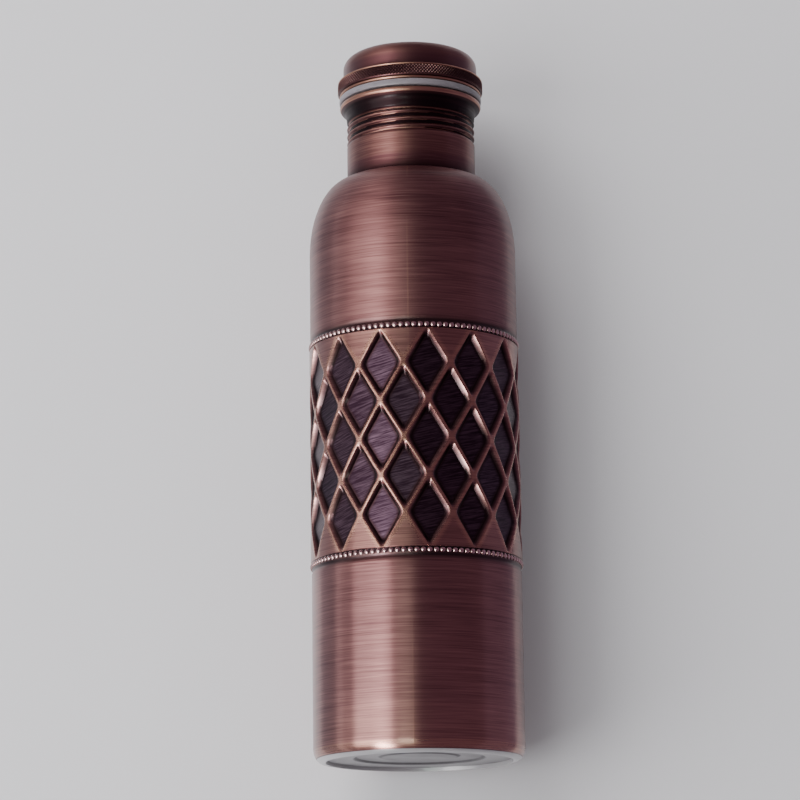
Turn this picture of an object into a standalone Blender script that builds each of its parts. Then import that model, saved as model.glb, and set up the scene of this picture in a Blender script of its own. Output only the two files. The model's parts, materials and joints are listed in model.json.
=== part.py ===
"""A copper water bottle with a screw lid, modelled as separate closed solids.

The bottle stands upright on its base ring: +Z runs up its axis, and the origin
is the centre of the base ring, in the plane that it stands on. All sizes are in
metres. The front of the bottle faces -Y.
"""

import bpy
import bmesh
from math import cos, pi, radians, sin, sqrt
from mathutils import Vector

# ---------------------------------------------------------------- driving sizes

WALL = 0.0006            # thickness of the copper sheet
GAP = 0.0003             # running or brazing clearance between two pieces

# body
BODY_RADIUS = 0.0360
SHOULDER_START = 0.1765  # height where the straight wall ends
SHOULDER_RISE = 0.0266   # height of the rounded shoulder
FOOT_ROLL = 0.0030       # radius of the rolled bottom edge
FOOT_LAND = 0.0012       # width of the flat ring that the bottle stands on
FOOT_LIP = 0.0022        # height of the turned-up lip that holds the base disc

# embossed band
BAND_CENTRE = 0.1054     # height of the band's middle
BAND_HALF = 0.0385       # from the middle to each ring of beads
BAND_PROUD = 0.0003      # how far the band's ridges stand out of the wall
BAND_BLEND = 0.0040      # height over which the inside wall steps in behind the band
BEAD_PROUD = 0.0006      # how far the bead rings stand out of the wall
BEAD_HALF = 0.0010       # half the height of a bead ring
GROOVE_DEPTH = 0.0004    # groove on each side of a bead ring
DIAMONDS_AROUND = 14
DIAMOND_ROWS = 5
RIDGE_HALF = 0.00095     # half the width of the ridge between two diamonds
DIAMOND_DEPTH = 0.0013
DIAMOND_SLOPE = 0.0013   # how far a diamond's wall leans in over its depth
DIAMOND_TURN = radians(7.0)  # first column's angle from the front

# base disc
BASE_HEIGHT = 0.0012     # height of the disc's underside
BASE_STEPS = ((0.0210, 0.0008), (0.0125, -0.0005))  # radius and rise of each step

# neck sleeve
NECK_RADIUS = 0.0225
NECK_HEIGHT = 0.0287     # from the top of the shoulder to the mouth
NECK_LAP = 0.0035        # how far the sleeve reaches down inside the shoulder
RIM_OVERHANG = 0.0024    # how far the rolled rim stands out of the neck
RIM_ROLL = 0.00105       # radius of the rolled rim
FLARE_HEIGHT = 0.0037    # height of the flare under the rim

# screw thread
PITCH = 0.0027
THREAD_DEPTH = 0.0008
THREAD_CLEARANCE = 0.00045
THREAD_TURNS = 3.6
STEM_REACH = 0.0180      # how far the stem goes down below the mouth

# gasket and lid
GASKET_OVERHANG = 0.0002  # how far the gasket stands out of the rim
GASKET_HEIGHT = 0.0023
FLANGE_OVERHANG = 0.0001  # how far the stem's flange stands out of the rim
FLANGE_HEIGHT = 0.0008
LID_OVERHANG = 0.0011    # how far the lid's wall stands out of the neck
LID_HEIGHT = 0.0148      # from the dome's lower edge to the top of the lid
LID_ROUND = 0.0044       # radius of the lid's top edge
LID_CROWN = 0.0014       # how far the top rises from its edge to its middle
GRIP_WIDTH = 0.0018      # radial thickness of the grip ring
GRIP_HEIGHT = 0.0042
GRIP_RIDGE = 0.0006      # height of the thin ridge on top of the grip
GRIP_BEVEL = 0.0004

# facets
BODY_STEPS = 56
NECK_STEPS = 36
ROWS_PER_TURN = 4

# ------------------------------------------------------------ derived sizes

SHOULDER_TOP = SHOULDER_START + SHOULDER_RISE
MOUTH_HEIGHT = SHOULDER_TOP + NECK_HEIGHT
RIM_RADIUS = NECK_RADIUS + RIM_OVERHANG
FLARE_START = MOUTH_HEIGHT - 2 * RIM_ROLL - FLARE_HEIGHT
THREAD_START = FLARE_START - THREAD_TURNS * PITCH

GASKET_BOTTOM = MOUTH_HEIGHT + GAP
FLANGE_BOTTOM = GASKET_BOTTOM + GASKET_HEIGHT + GAP
FLANGE_TOP = FLANGE_BOTTOM + FLANGE_HEIGHT
GRIP_BOTTOM = FLANGE_TOP + GAP
LID_RADIUS = NECK_RADIUS + LID_OVERHANG
STEM_ROOT = NECK_RADIUS - WALL - THREAD_DEPTH - THREAD_CLEARANCE

CELL_TURN = pi / DIAMONDS_AROUND                       # half a diamond cell, round the axis
CELL_RISE = 2 * BAND_HALF / (DIAMOND_ROWS + 1)         # half a diamond cell, up the axis


# --------------------------------------------------------------------- helpers

def clear_scene():
    """Removes every object that the scene holds."""
    for thing in list(bpy.data.objects):
        bpy.data.objects.remove(thing, do_unlink=True)


def make_material(name, colour, roughness, metallic):
    """A Principled material of one colour."""
    material = bpy.data.materials.new(name)
    material.use_nodes = True
    shader = material.node_tree.nodes["Principled BSDF"]
    shader.inputs["Base Color"].default_value = (*colour, 1.0)
    shader.inputs["Roughness"].default_value = roughness
    shader.inputs["Metallic"].default_value = metallic
    material.diffuse_color = (*colour, 1.0)
    return material


def arc(centre, radius, start, end, steps):
    """Points (r, z) along an arc, from one angle to another, in degrees."""
    points = []
    for i in range(steps + 1):
        angle = radians(start + (end - start) * i / steps)
        points.append((centre[0] + radius * cos(angle), centre[1] + radius * sin(angle)))
    return points


def turned(name, profile, material, steps):
    """Turns a closed (r, z) outline about the Z axis into a solid with that name."""
    mesh = bpy.data.meshes.new(name)
    form = bmesh.new()
    points = [form.verts.new((r, 0.0, z)) for r, z in profile]
    on_axis = profile[0][0] < 1e-6
    pairs = list(zip(points, points[1:]))
    if not on_axis:
        pairs.append((points[-1], points[0]))
    edges = [form.edges.new(pair) for pair in pairs]
    bmesh.ops.spin(form, geom=points + edges, cent=(0, 0, 0), axis=(0, 0, 1),
                   angle=2 * pi, steps=steps, use_merge=True)
    bmesh.ops.remove_doubles(form, verts=form.verts, dist=1e-6)
    bmesh.ops.recalc_face_normals(form, faces=form.faces)
    form.to_mesh(mesh)
    form.free()
    mesh.materials.append(material)
    mesh.shade_smooth()
    mesh.set_sharp_from_angle(angle=radians(30))
    piece = bpy.data.objects.new(name, mesh)
    bpy.context.collection.objects.link(piece)
    return piece


# ------------------------------------------------------------------- the thread

def press_thread(piece, move, start, turns, inner, outer):
    """Moves the sheet between two radii in or out along the screw thread.

    A negative move presses a groove into the neck, and a positive one raises the
    ridge on the stem that runs in it. The thread is right-handed, so it climbs one
    pitch in each turn, and it fades out over half a pitch at its two ends.
    """
    end = start + turns * PITCH
    phase = pi if move < 0 else 0.0
    for vertex in piece.data.vertices:
        flat = Vector((vertex.co.x, vertex.co.y))
        if not inner < flat.length < outer:
            continue
        height = vertex.co.z
        angle = flat.angle_signed(Vector((1, 0)))
        fade = min(height - start, end - height) / (PITCH / 2)
        fade = max(0.0, min(1.0, fade))
        climb = 2 * pi * (height - THREAD_START) / PITCH
        share = fade * (0.5 + 0.5 * cos(climb - angle + phase))
        flat *= 1 + move * share / flat.length
        vertex.co.x = flat.x
        vertex.co.y = flat.y
    piece.data.update()


def thread_rows(radius, start, turns):
    """Profile points close enough together to carry the thread."""
    count = round(turns * ROWS_PER_TURN)
    return [(radius, start + turns * PITCH * i / count) for i in range(count + 1)]


# ------------------------------------------------------------- the bottle's body

def shoulder(offset, steps):
    """The rounded shoulder, from the wall to the neck hole, moved in by an offset."""
    hole = NECK_RADIUS + GAP
    points = []
    for i in range(steps + 1):
        angle = pi / 2 * i / steps
        r = hole + (BODY_RADIUS - offset - hole) * cos(angle)
        z = SHOULDER_START + (SHOULDER_RISE - offset) * sin(angle)
        points.append((r, z))
    return points


def bead_ring(centre, below, above):
    """A half-round ring between two grooves, with the wall's radius on each side."""
    groove = BEAD_HALF * 1.6
    edge = BEAD_HALF * 2.6
    return [
        (below, centre - edge),
        (below - GROOVE_DEPTH, centre - groove),
        (BODY_RADIUS, centre - BEAD_HALF * 0.8),
        (BODY_RADIUS + BEAD_PROUD, centre),
        (BODY_RADIUS, centre + BEAD_HALF * 0.8),
        (above - GROOVE_DEPTH, centre + groove),
        (above, centre + edge),
    ]


def diamond_cutters():
    """One closed, tapered block for each diamond that is pressed into the band."""
    mesh = bpy.data.meshes.new("diamond_cutters")
    form = bmesh.new()
    face = BODY_RADIUS + BAND_PROUD
    lift = 0.0005
    wide = CELL_TURN * BODY_RADIUS
    reach = wide * CELL_RISE / sqrt(wide ** 2 + CELL_RISE ** 2)
    opening = 1 - RIDGE_HALF / reach
    slope = DIAMOND_SLOPE / DIAMOND_DEPTH / reach
    layers = (
        (face - DIAMOND_DEPTH, opening - slope * DIAMOND_DEPTH),
        (face + lift, opening + slope * lift),
    )
    for row in range(DIAMOND_ROWS):
        height = BAND_CENTRE + (row - (DIAMOND_ROWS - 1) / 2) * CELL_RISE
        for column in range(DIAMONDS_AROUND):
            turn = DIAMOND_TURN - pi / 2 + (2 * column + row % 2) * CELL_TURN
            loops = []
            for radius, share in layers:
                corners = (
                    (0, -share * CELL_RISE), (share * CELL_TURN, 0),
                    (0, share * CELL_RISE), (-share * CELL_TURN, 0),
                )
                loops.append([
                    form.verts.new((radius * cos(turn + a), radius * sin(turn + a), height + z))
                    for a, z in corners
                ])
            for loop in loops:
                form.faces.new((loop[0], loop[1], loop[2]))
                form.faces.new((loop[0], loop[2], loop[3]))
            for i in range(4):
                j = (i + 1) % 4
                form.faces.new((loops[0][i], loops[0][j], loops[1][j], loops[1][i]))
    bmesh.ops.triangulate(form, faces=form.faces)
    bmesh.ops.recalc_face_normals(form, faces=form.faces)
    form.to_mesh(mesh)
    form.free()
    cutter = bpy.data.objects.new("diamond_cutters", mesh)
    cutter.hide_render = True
    cutter.display_type = "WIRE"
    bpy.context.collection.objects.link(cutter)
    return cutter


def body_shell(material):
    """The straight wall, rolled foot and shoulder, with the embossed band."""
    outer = BODY_RADIUS
    inner = BODY_RADIUS - WALL
    band = BODY_RADIUS + BAND_PROUD
    land = outer - FOOT_ROLL
    lip = land - FOOT_LAND
    roll = (land, FOOT_ROLL)
    low = BAND_CENTRE - BAND_HALF
    high = BAND_CENTRE + BAND_HALF
    deep = band - DIAMOND_DEPTH - WALL

    profile = [(lip, 0.0)]
    profile += arc(roll, FOOT_ROLL, -90, 0, 5)
    profile += bead_ring(low, outer, band)
    profile += bead_ring(high, band, outer)
    profile += shoulder(0.0, 9)
    profile += list(reversed(shoulder(WALL, 7)))
    profile += [(inner, high + BAND_BLEND), (deep, high), (deep, low), (inner, low - BAND_BLEND)]
    profile += arc(roll, FOOT_ROLL - WALL, 0, -90, 3)
    profile += [(lip + WALL, WALL), (lip + WALL, FOOT_LIP), (lip, FOOT_LIP)]
    shell = turned("body_shell", profile, material, BODY_STEPS)

    cut = shell.modifiers.new("diamonds", "BOOLEAN")
    cut.operation = "DIFFERENCE"
    cut.solver = "EXACT"
    cut.object = diamond_cutters()
    return shell


def base_disc(material):
    """The stepped disc that closes the bottom, inside the foot's turned-up lip."""
    radius = BODY_RADIUS - FOOT_ROLL - FOOT_LAND - GAP
    under = [(radius, BASE_HEIGHT)]
    height = BASE_HEIGHT
    for step_radius, rise in BASE_STEPS:
        under.append((step_radius + abs(rise), height))
        height += rise
        under.append((step_radius, height))
    under.append((0.0, height))
    over = [(r, z + WALL) for r, z in under]
    return turned("base_disc", list(reversed(under)) + over, material, BODY_STEPS)


def neck_sleeve(material):
    """The neck: a short tube with a rolled thread, flared out to a rolled rim."""
    outer = NECK_RADIUS
    inner = NECK_RADIUS - WALL
    foot = SHOULDER_TOP - NECK_LAP
    rim = (RIM_RADIUS - RIM_ROLL, MOUTH_HEIGHT - RIM_ROLL)
    flare_out = 0.3 * RIM_OVERHANG

    profile = [(outer, foot), (outer, SHOULDER_TOP + WALL)]
    profile += thread_rows(outer, THREAD_START, THREAD_TURNS)
    profile += [(outer + flare_out, FLARE_START + 0.75 * FLARE_HEIGHT)]
    profile += arc(rim, RIM_ROLL, -75, 200, 8)
    profile += [(inner + flare_out, FLARE_START + 0.85 * FLARE_HEIGHT)]
    profile += list(reversed(thread_rows(inner, THREAD_START, THREAD_TURNS)))
    profile += [(inner, foot)]
    sleeve = turned("neck_sleeve", profile, material, NECK_STEPS)
    press_thread(sleeve, -THREAD_DEPTH, THREAD_START, THREAD_TURNS,
                 inner - WALL / 2, outer + WALL / 2)
    return sleeve


# ---------------------------------------------------------------------- the lid

def gasket(material):
    """The flat silicone ring that seals the lid on the rim."""
    inner = STEM_ROOT + THREAD_DEPTH / 2 + GAP
    outer = RIM_RADIUS + GASKET_OVERHANG
    low = GASKET_BOTTOM
    high = GASKET_BOTTOM + GASKET_HEIGHT
    soft = GASKET_HEIGHT * 0.3
    profile = [
        (inner, low), (outer - soft, low), (outer, low + soft),
        (outer, high - soft), (outer - soft, high), (inner, high),
    ]
    return turned("gasket", profile, material, NECK_STEPS)


def lid_stem(material):
    """The threaded stem under the lid, with the flange that presses on the gasket."""
    tip = MOUTH_HEIGHT - STEM_REACH
    bore = STEM_ROOT - WALL
    flange = RIM_RADIUS + FLANGE_OVERHANG
    start = tip + PITCH / 4
    turns = (FLARE_START - start) / PITCH
    profile = [(bore, tip), (STEM_ROOT, tip)]
    profile += thread_rows(STEM_ROOT, start, turns)
    profile += [(STEM_ROOT, FLANGE_BOTTOM), (flange, FLANGE_BOTTOM)]
    profile += [(flange, FLANGE_TOP), (bore, FLANGE_TOP)]
    stem = turned("lid_stem", profile, material, NECK_STEPS)
    press_thread(stem, THREAD_DEPTH, start, turns,
                 bore + WALL / 2, STEM_ROOT + THREAD_DEPTH)
    return stem


def grip_ring(material):
    """The grip ring round the lid's lower edge, with a thin ridge on its top."""
    inner = LID_RADIUS + GAP
    outer = inner + GRIP_WIDTH
    low = GRIP_BOTTOM
    high = GRIP_BOTTOM + GRIP_HEIGHT
    band = high - GRIP_RIDGE
    profile = [
        (inner, low), (outer - GRIP_BEVEL, low), (outer, low + GRIP_BEVEL),
        (outer, band - GRIP_BEVEL), (outer - GRIP_BEVEL, band),
        (outer - GRIP_BEVEL, high), (inner, high),
    ]
    return turned("grip_ring", profile, material, NECK_STEPS)


def lid_dome(material):
    """The lid's cap: a short wall that rounds over into a slightly crowned top."""
    low = GRIP_BOTTOM
    edge = low + LID_HEIGHT - LID_CROWN - LID_ROUND
    corner = (LID_RADIUS - LID_ROUND, edge)
    outer = [(LID_RADIUS, low)]
    outer += arc(corner, LID_ROUND, 0, 78, 5)
    outer += [(0.5 * corner[0], low + LID_HEIGHT - 0.3 * LID_CROWN)]
    outer += [(0.0, low + LID_HEIGHT)]
    inner = [(0.0, low + LID_HEIGHT - WALL)]
    inner += [(0.5 * corner[0], low + LID_HEIGHT - 0.3 * LID_CROWN - WALL)]
    inner += arc(corner, LID_ROUND - WALL, 78, 0, 4)
    inner += [(LID_RADIUS - WALL, low)]
    return turned("lid_dome", inner + outer, material, NECK_STEPS)


# -------------------------------------------------------------------- the model

def build():
    """Makes every piece and hangs the moving ones on their joint's axis."""
    clear_scene()
    aged = make_material("aged_copper", (0.165, 0.072, 0.055), 0.38, 1.0)
    rubbed = make_material("rubbed_copper", (0.42, 0.19, 0.12), 0.32, 1.0)
    dark = make_material("dark_copper", (0.07, 0.032, 0.03), 0.45, 1.0)
    pale = make_material("base_metal", (0.50, 0.50, 0.51), 0.35, 1.0)
    silicone = make_material("silicone", (0.72, 0.72, 0.72), 0.45, 0.0)

    body_shell(aged)
    base_disc(pale)
    neck_sleeve(dark)

    axis = bpy.data.objects.new("lid_axis", None)
    axis.location = (0.0, 0.0, MOUTH_HEIGHT)
    bpy.context.collection.objects.link(axis)
    bpy.context.view_layer.update()
    moving = (gasket(silicone), lid_stem(rubbed), grip_ring(dark), lid_dome(aged))
    for piece in moving:
        piece.parent = axis
        piece.matrix_parent_inverse = axis.matrix_world.inverted()


build()
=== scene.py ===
# %% [markdown]
# # A copper water bottle
# This bottle is pressed and rolled out of thin copper sheet: a straight body with an embossed
# band of diamonds, a rounded shoulder, a short neck with a rolled thread, and a screw lid.
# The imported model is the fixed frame. It says where every piece sits and how the lid moves, and
# this lesson builds the fine surfaces that take the place of its plain solids.

# %% Load the frame
import bpy
import bmesh
import json
from math import atan2, cos, hypot, pi, radians, sin, sqrt
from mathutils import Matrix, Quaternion, Vector

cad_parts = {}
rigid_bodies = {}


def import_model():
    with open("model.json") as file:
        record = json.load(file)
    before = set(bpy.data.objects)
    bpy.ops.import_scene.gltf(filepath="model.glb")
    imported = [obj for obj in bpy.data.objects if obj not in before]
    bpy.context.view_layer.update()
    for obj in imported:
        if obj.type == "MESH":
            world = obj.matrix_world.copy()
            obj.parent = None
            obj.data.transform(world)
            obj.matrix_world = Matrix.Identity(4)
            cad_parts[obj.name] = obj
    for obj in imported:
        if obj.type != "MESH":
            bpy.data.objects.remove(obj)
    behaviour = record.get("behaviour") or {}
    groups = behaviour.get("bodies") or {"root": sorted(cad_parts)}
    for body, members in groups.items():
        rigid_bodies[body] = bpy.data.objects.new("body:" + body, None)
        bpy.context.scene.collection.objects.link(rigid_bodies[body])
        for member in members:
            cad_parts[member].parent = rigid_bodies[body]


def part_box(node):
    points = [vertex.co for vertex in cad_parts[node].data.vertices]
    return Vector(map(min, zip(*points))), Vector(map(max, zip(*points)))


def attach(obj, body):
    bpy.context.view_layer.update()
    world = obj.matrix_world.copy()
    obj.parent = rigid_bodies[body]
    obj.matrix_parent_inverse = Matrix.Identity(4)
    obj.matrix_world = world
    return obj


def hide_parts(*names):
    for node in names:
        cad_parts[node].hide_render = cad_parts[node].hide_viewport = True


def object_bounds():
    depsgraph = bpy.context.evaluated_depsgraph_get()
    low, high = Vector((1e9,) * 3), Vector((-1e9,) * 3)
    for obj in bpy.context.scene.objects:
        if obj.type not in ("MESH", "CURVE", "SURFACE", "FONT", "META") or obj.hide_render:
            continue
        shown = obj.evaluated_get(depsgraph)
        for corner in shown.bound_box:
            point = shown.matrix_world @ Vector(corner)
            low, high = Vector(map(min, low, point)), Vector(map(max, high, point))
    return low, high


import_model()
cad_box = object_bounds()
for thing in list(bpy.data.objects):
    if thing.type in {"CAMERA", "LIGHT"}:
        bpy.data.objects.remove(thing, do_unlink=True)

# %% [markdown]
# ## Sizes
# Heights and radii come from the frame's own boxes where they can, so the fine pieces land
# exactly on the solids that they replace. A box can't tell how thick the sheet is or how deep
# a diamond is pressed, so those few sizes are named here, in metres.

# %% Sizes
MM = 0.001
WALL = 0.6 * MM
GAP = 0.3 * MM
BODY_RADIUS = 36.0 * MM
SHOULDER_RISE = 26.6 * MM
NECK_RADIUS = 22.5 * MM
RIM_ROLL = 1.05 * MM
PITCH = 2.7 * MM
THREAD_TURNS = 3.6
THREAD_DEPTH = 0.8 * MM

SHOULDER_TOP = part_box("body_shell")[1].z
SHOULDER_START = SHOULDER_TOP - SHOULDER_RISE
MOUTH_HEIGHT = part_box("neck_sleeve")[1].z
RIM_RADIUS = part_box("neck_sleeve")[1].x
NECK_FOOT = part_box("neck_sleeve")[0].z
FLARE_START = MOUTH_HEIGHT - 2 * RIM_ROLL - 3.7 * MM
THREAD_START = FLARE_START - THREAD_TURNS * PITCH
STEM_ROOT = NECK_RADIUS - WALL - THREAD_DEPTH - 0.45 * MM
print("bottle", round(MOUTH_HEIGHT / MM, 1), "mm to the mouth,", round(cad_box[1].z / MM, 1), "mm tall")

# %% [markdown]
# ## Camera
# The bottle is seen from its foot end, a little below the plane that it stands on, so the
# underside of the foot shows as a thin sliver and the rim and lid show their undersides. A long
# lens from about a metre keeps the straight wall nearly parallel. The camera is rolled by less
# than a degree, so the bottle leans a little, as it does when a camera is held by hand.

# %% Camera
CAMERA_LENS = 141.0
CAMERA_PLACE = Vector((-0.0050, -1.062, -0.107))
CAMERA_TARGET = Vector((-0.0050, 0.0, 0.1255))
CAMERA_ROLL = radians(-0.75)

camera = bpy.data.objects.new("camera", bpy.data.cameras.new("camera"))
camera.data.lens = CAMERA_LENS
camera.data.clip_start = 0.01
camera.data.clip_end = 50
camera.location = CAMERA_PLACE
look = (CAMERA_TARGET - CAMERA_PLACE).to_track_quat("-Z", "Y")
camera.rotation_mode = "QUATERNION"
camera.rotation_quaternion = look @ Quaternion((0, 0, 1), CAMERA_ROLL)
bpy.context.scene.collection.objects.link(camera)
bpy.context.scene.camera = camera
print("camera", round((CAMERA_TARGET - CAMERA_PLACE).length, 3), "m from the bottle")

# %% [markdown]
# ## Turning a profile
# Nearly every piece of a bottle is round, and a maker would turn or spin it. So does Blender: a
# closed outline of radius and height is spun about the axis. Each point of the outline also
# carries a *tone*: +1 where hands rub the copper bright, -1 where dark oxide stays in a corner.
# A low tone also paints a dark reflection at the neck's foot, and shade on the base disc.
# The tone becomes an attribute of the mesh, which the copper reads later.

# %% Helpers for round pieces
def arc(centre, radius, start, end, steps, tone=0.0):
    """Outline points (radius, height, tone) along an arc, between two angles in degrees."""
    points = []
    for i in range(steps + 1):
        angle = radians(start + (end - start) * i / steps)
        points.append((centre[0] + radius * cos(angle), centre[1] + radius * sin(angle), tone))
    return points


def turned(outline, steps):
    """Spins an outline about the Z axis. One that starts off the axis is closed first."""
    form = bmesh.new()
    tone = form.verts.layers.float.new("tone")
    points = []
    for radius, height, shade in outline:
        point = form.verts.new((radius, 0.0, height))
        point[tone] = shade
        points.append(point)
    pairs = list(zip(points, points[1:]))
    if outline[0][0] > 1e-6:
        pairs.append((points[-1], points[0]))
    edges = [form.edges.new(pair) for pair in pairs]
    bmesh.ops.spin(form, geom=points + edges, cent=(0, 0, 0), axis=(0, 0, 1),
                   angle=2 * pi, steps=steps, use_merge=True)
    bmesh.ops.remove_doubles(form, verts=form.verts, dist=1e-7)
    return form


def finish_piece(form, name, body, node, sharp=35):
    """Turns a bmesh into a smooth-shaded piece that rides on a body and stands for a node."""
    bmesh.ops.recalc_face_normals(form, faces=form.faces)
    mesh = bpy.data.meshes.new(name)
    form.to_mesh(mesh)
    form.free()
    mesh.shade_smooth()
    mesh.set_sharp_from_angle(angle=radians(sharp))
    piece = bpy.data.objects.new(name, mesh)
    bpy.context.scene.collection.objects.link(piece)
    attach(piece, body)
    if node:
        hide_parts(node)
    print(name, len(mesh.polygons), "faces")
    return piece


# %% [markdown]
# ## One diamond of the band
# The band is embossed: a steel roller presses five staggered rows of diamonds into the sheet and
# leaves narrow ridges between them. A diamond and half of the ridges round it make one cell, and
# the cells tile the band like rhombic tiles. So one cell is modelled, as a grid whose lines run
# along the ridges. That keeps every ridge a clean line of vertices, where a plain upright grid
# would cut it into stairs. The grid lines crowd together near the ridges, where the shape bends.
# The roller's faces are flat, so the floor of each diamond is flat too: it's deepest in the
# middle, where the round wall would bulge most. The steep walls round it hold dark oxide.

# %% One diamond cell
DIAMONDS_AROUND = 14
DIAMOND_ROWS = 5
DIAMOND_TURN = radians(7.0)
DIAMOND_DEPTH = 1.3 * MM
BAND_CENTRE = 105.4 * MM
BAND_HALF = 38.5 * MM
BAND_RADIUS = BODY_RADIUS + 0.3 * MM
CELL_WIDE = pi * BODY_RADIUS / DIAMONDS_AROUND
CELL_TALL = 2 * BAND_HALF / (DIAMOND_ROWS + 1)
CELL_REACH = CELL_WIDE * CELL_TALL / sqrt(CELL_WIDE ** 2 + CELL_TALL ** 2)
CELL_CUTS = 20
CROWDING = 1.6
FLOOR_HALF = 6.5 * MM
RIM_DEPTH = 1.05 * MM
RIDGE_HALF = 0.30 * MM
WALL_RUN = 1.35 * MM
TIP_ROUND = 1.5 * MM
RIDGE_RUB = 0.68
WALL_OXIDE = 0.95
PLAIN_RUB = 0.16
PLAIN_EDGE_RUB = 0.50


def soft_min(a, b, blend):
    """The smaller of two distances, rounded off where they are nearly equal."""
    near = max(blend - abs(a - b), 0.0) / blend
    return min(a, b) - near * near * blend / 4


def ease(value, start, run):
    """Climbs smoothly from 0 to 1 over a run that begins at start."""
    share = max(0.0, min(1.0, (value - start) / run))
    return share * share * (3 - 2 * share)


def pressed_tone(depth):
    """Rubbed on the ridge, dark with oxide on the steep wall, and plain on the floor."""
    ridge = 1 - ease(depth, 0.12 * MM, 0.65 * MM)
    wall = ease(depth, 0.42 * WALL_RUN, 0.5 * WALL_RUN)
    wall -= ease(depth, RIDGE_HALF + 0.9 * WALL_RUN, WALL_RUN)
    return RIDGE_RUB * ridge - WALL_OXIDE * wall


def plain_tone(depth):
    """Rubbed a little all over, and more towards the ridge."""
    return PLAIN_RUB + PLAIN_EDGE_RUB * (1 - ease(depth, 0.20 * MM, 1.2 * MM))


def diamond_cell(form, pressed):
    """Adds one flat cell: x along the wall, y out of it, z up it. Returns its geometry."""
    tone, sink, across = (form.verts.layers.float[name] for name in ("tone", "sink", "across"))
    grid = bmesh.ops.create_grid(form, x_segments=CELL_CUTS, y_segments=CELL_CUTS, size=1.0)
    for vertex in grid["verts"]:
        a, b = ((1 - (1 - abs(t)) ** CROWDING) * (1 if t > 0 else -1) for t in vertex.co.xy)
        depth = soft_min((1 - abs(a)) * CELL_REACH, (1 - abs(b)) * CELL_REACH, TIP_ROUND)
        fall = ease(depth, RIDGE_HALF, WALL_RUN) if pressed else 0.0
        x = CELL_WIDE * (a - b) / 2
        flat = RIM_DEPTH + (FLOOR_HALF ** 2 - x ** 2) / (2 * BODY_RADIUS)
        vertex.co = (x, -flat * fall, CELL_TALL * (a + b) / 2)
        vertex[tone] = pressed_tone(depth) if pressed else plain_tone(depth)
        vertex[sink] = ease(depth, RIDGE_HALF + 0.6 * WALL_RUN, 0.6 * WALL_RUN) if pressed else 0.0
        vertex[across] = x
    faces = {face for vertex in grid["verts"] for face in vertex.link_faces}
    edges = {edge for face in faces for edge in face.edges}
    return list(grid["verts"]) + list(edges) + list(faces)


print("cell", round(2 * CELL_WIDE / MM, 2), "x", round(2 * CELL_TALL / MM, 2), "mm")

# %% [markdown]
# ## The embossed band
# Copies of the cell are laid side by side on a flat sheet, row by row, with every second row
# moved along by half a diamond. The first and last rows are plain cells, cut in half along the
# bead lines. A narrow dark channel is pressed beside each bead line, so the sheet is cut along
# the channel's two sides first. Then the whole sheet is rolled up into a tube, as the real sheet
# is, and its vertices are welded where the cells and the two ends meet.

# %% Roll the band
CHANNEL = 1.0 * MM
CHANNEL_SLOPE = 0.35 * MM
CHANNEL_TONE = -0.95


def lay_cells(form, pressed, rows):
    """Lays one ring of cells in each of the given rows, and removes the pattern cell."""
    pattern = diamond_cell(form, pressed)
    for row in rows:
        for column in range(DIAMONDS_AROUND):
            copy = bmesh.ops.duplicate(form, geom=pattern)["geom"]
            corners = [item for item in copy if isinstance(item, bmesh.types.BMVert)]
            shift = Vector(((2 * column + row % 2) * CELL_WIDE, 0, row * CELL_TALL))
            bmesh.ops.translate(form, verts=corners, vec=shift)
    corners = [item for item in pattern if isinstance(item, bmesh.types.BMVert)]
    bmesh.ops.delete(form, geom=corners, context="VERTS")


def rolled_band():
    """The embossed band as an open tube between the two bead lines."""
    form = bmesh.new()
    for name in ("tone", "sink", "across", "bare"):
        form.verts.layers.float.new(name)
    last = DIAMOND_ROWS // 2
    lay_cells(form, True, range(-last, last + 1))
    lay_cells(form, False, (-last - 1, last + 1))
    tone = form.verts.layers.float["tone"]
    for side in (-1, 1):
        for inset in (0.0, CHANNEL, CHANNEL + CHANNEL_SLOPE):
            everything = list(form.verts) + list(form.edges) + list(form.faces)
            cut = (0, 0, side * (BAND_HALF - inset))
            bmesh.ops.bisect_plane(form, geom=everything, plane_co=cut, plane_no=(0, 0, side),
                                   clear_outer=inset == 0.0, dist=1e-6)
    for vertex in form.verts:
        if abs(vertex.co.z) > BAND_HALF - CHANNEL - 1e-5:
            vertex.co.y = BODY_RADIUS - BAND_RADIUS
            vertex[tone] = CHANNEL_TONE
    for vertex in form.verts:
        angle = vertex.co.x / BODY_RADIUS + DIAMOND_TURN - pi / 2
        radius = BAND_RADIUS + vertex.co.y
        vertex.co = (radius * cos(angle), radius * sin(angle), BAND_CENTRE + vertex.co.z)
    bmesh.ops.remove_doubles(form, verts=form.verts, dist=5e-6)
    return form


def rim_at(form, height):
    """The open edges that lie at a height."""
    return [
        edge for edge in form.edges
        if edge.is_boundary and all(abs(v.co.z - height) < 1e-5 for v in edge.verts)
    ]


body_form = rolled_band()
edges_round = len(rim_at(body_form, BAND_CENTRE + BAND_HALF))
print("band", len(body_form.faces), "faces,", edges_round, "edges round")

# %% [markdown]
# ## The shapes round the shoulder, the beads and the foot
# Above and below the band the body is plain and round, so a list of rings is enough to describe
# it: each has a radius, a height and a tone. The shoulder is a quarter of an ellipse. Each bead
# line has a shallow dark groove beyond it. The foot is rolled under, with a longer curve up the
# wall than in towards the axis, which is what catches a low light.

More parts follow.
